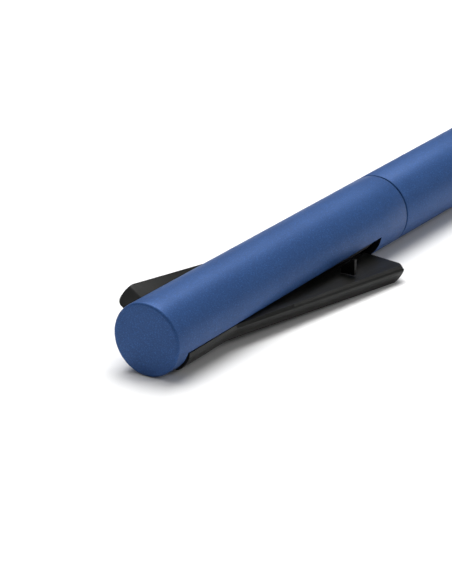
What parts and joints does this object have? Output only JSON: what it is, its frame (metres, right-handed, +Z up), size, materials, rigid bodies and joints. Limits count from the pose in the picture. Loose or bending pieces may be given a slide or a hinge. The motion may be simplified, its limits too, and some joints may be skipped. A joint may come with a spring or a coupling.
{
  "type": "rollerball pen",
  "caption": "Capped rollerball pen: round metal cap and barrel of one diameter, flat ends, black sprung blade clip set in a long slot, grip section and refill inside",
  "frame": {"origin": "centre of the flat end face of the cap, on the pen's axis", "axes": "+X runs along the pen's axis from the cap's end face to the barrel's end face; +Z is up as the pen lies on a table with its clip arm on the -Y side; -Z is the side on the table"},
  "size_m": [0.138, 0.0197, 0.0116],
  "materials": {
    "blue_lacquer": "satin blue lacquer with a fine metallic fleck over drawn aluminium",
    "black_coat": "satin black coating over steel",
    "black_moulding": "matt black moulding",
    "bright_steel": "drawn steel, lightly brushed",
    "chrome_trim": "polished chrome plate",
    "turned_brass": "turned brass, unplated",
    "seal_rubber": "matt black seal rubber",
    "ink_fibre": "fibre soaked with blue ink",
    "ball_metal": "polished hard metal ball"
  },
  "bodies": {
    "barrel": {"barrel_tube": "blue_lacquer", "barrel_end_plug": "blue_lacquer", "barrel_thread_bush": "turned_brass", "refill_spring": "bright_steel"},
    "refill": {"refill_tube": "bright_steel", "refill_end_plug": "black_moulding", "ink_reservoir": "ink_fibre", "refill_nose": "black_moulding", "point_socket": "bright_steel", "feed_wick": "ink_fibre"},
    "ball": {"writing_ball": "ball_metal"},
    "section": {"grip_section": "black_moulding", "section_collar_ring": "chrome_trim", "section_o_ring": "seal_rubber", "front_cone": "chrome_trim"},
    "cap": {"cap_shell": "blue_lacquer", "inner_cap": "black_moulding", "cap_snap_ring": "bright_steel", "clip_carrier": "black_moulding", "clip_pivot_pin": "bright_steel", "clip_torsion_spring": "bright_steel"},
    "clip": {"clip_blade": "black_coat", "clip_foot": "black_moulding"}
  },
  "joints": [
    {"name": "refill_slide", "type": "slide", "parent": "barrel", "child": "refill", "axis": [-1, 0, 0], "range_m": [0, 0.006]},
    {"name": "section_unscrew", "type": "hinge", "parent": "refill", "child": "section", "pos_m": [0.07, 0, 0], "axis": [-1, 0, 0], "range_deg": [0, 2160]},
    {"name": "cap_pull_off", "type": "slide", "parent": "section", "child": "cap", "axis": [-1, 0, 0], "range_m": [0, 0.05]},
    {"name": "clip_open", "type": "hinge", "parent": "cap", "child": "clip", "pos_m": [0.01575, 0, 0], "axis": [0, 0.5592, -0.829], "range_deg": [0, 5], "stiffness_Nm_per_rad": 1, "springref_deg": -2.86},
    {"name": "ball_roll", "type": "hinge", "parent": "refill", "child": "ball", "pos_m": [0.03425, 0, 0], "axis": [0, 1, 0], "continuous": true}
  ],
  "couplings": [
    {"joint": "refill_slide", "follows": "section_unscrew", "m_per_rad": 0.00015915}
  ]
}
